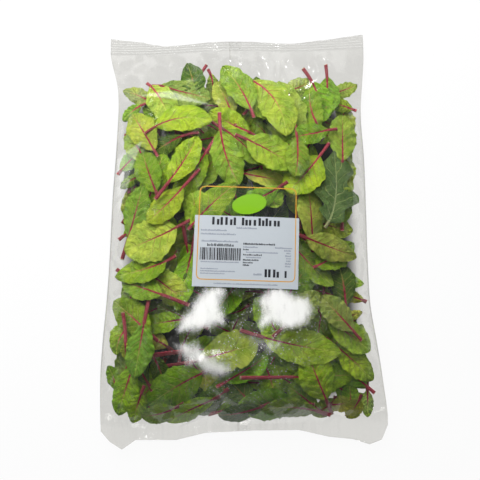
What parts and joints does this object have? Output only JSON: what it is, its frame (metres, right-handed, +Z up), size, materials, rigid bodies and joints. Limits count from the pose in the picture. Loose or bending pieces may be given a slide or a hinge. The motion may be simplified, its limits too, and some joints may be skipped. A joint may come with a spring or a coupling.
{
  "type": "bag of chard leaves",
  "caption": "Clear sealed film bag filled with loose red-stemmed chard leaves, with a plain label on its front, lying flat on its back.",
  "frame": {"origin": "on the surface that the bag lies on, under the middle of the bag's bounding box", "axes": "+X across the bag to the right of its label, +Y along the bag to its top seal, +Z up, out of the label"},
  "size_m": [0.2523, 0.3919, 0.0475],
  "materials": {
    "film": "clear glossy packaging film",
    "label": "satin adhesive label, part clear and part pale",
    "leaf": "waxy green blades on magenta-red stalks"
  },
  "bodies": {
    "root": {"bag_film": "film", "label": "label", "front_leaf_01": "leaf", "front_leaf_02": "leaf", "front_leaf_03": "leaf", "front_leaf_04": "leaf", "front_leaf_05": "leaf", "front_leaf_06": "leaf", "front_leaf_07": "leaf", "front_leaf_08": "leaf", "front_leaf_09": "leaf", "front_leaf_10": "leaf", "front_leaf_11": "leaf", "front_leaf_12": "leaf", "front_leaf_13": "leaf", "front_leaf_14": "leaf", "front_leaf_15": "leaf", "front_leaf_16": "leaf", "front_leaf_17": "leaf", "front_leaf_18": "leaf", "front_leaf_19": "leaf", "front_leaf_20": "leaf", "front_leaf_21": "leaf", "front_leaf_22": "leaf", "front_leaf_23": "leaf", "front_leaf_24": "leaf", "front_leaf_25": "leaf", "front_leaf_26": "leaf", "front_leaf_27": "leaf", "front_leaf_28": "leaf", "front_leaf_29": "leaf", "front_leaf_30": "leaf", "front_leaf_31": "leaf", "front_leaf_32": "leaf", "front_leaf_33": "leaf", "front_leaf_34": "leaf", "front_leaf_35": "leaf", "front_leaf_36": "leaf", "front_leaf_37": "leaf", "front_leaf_38": "leaf", "front_leaf_39": "leaf", "front_leaf_40": "leaf", "back_leaf_01": "leaf", "back_leaf_02": "leaf", "back_leaf_03": "leaf", "back_leaf_04": "leaf", "back_leaf_05": "leaf", "back_leaf_06": "leaf", "back_leaf_07": "leaf", "back_leaf_08": "leaf", "back_leaf_09": "leaf", "back_leaf_10": "leaf"}
  },
  "joints": []
}
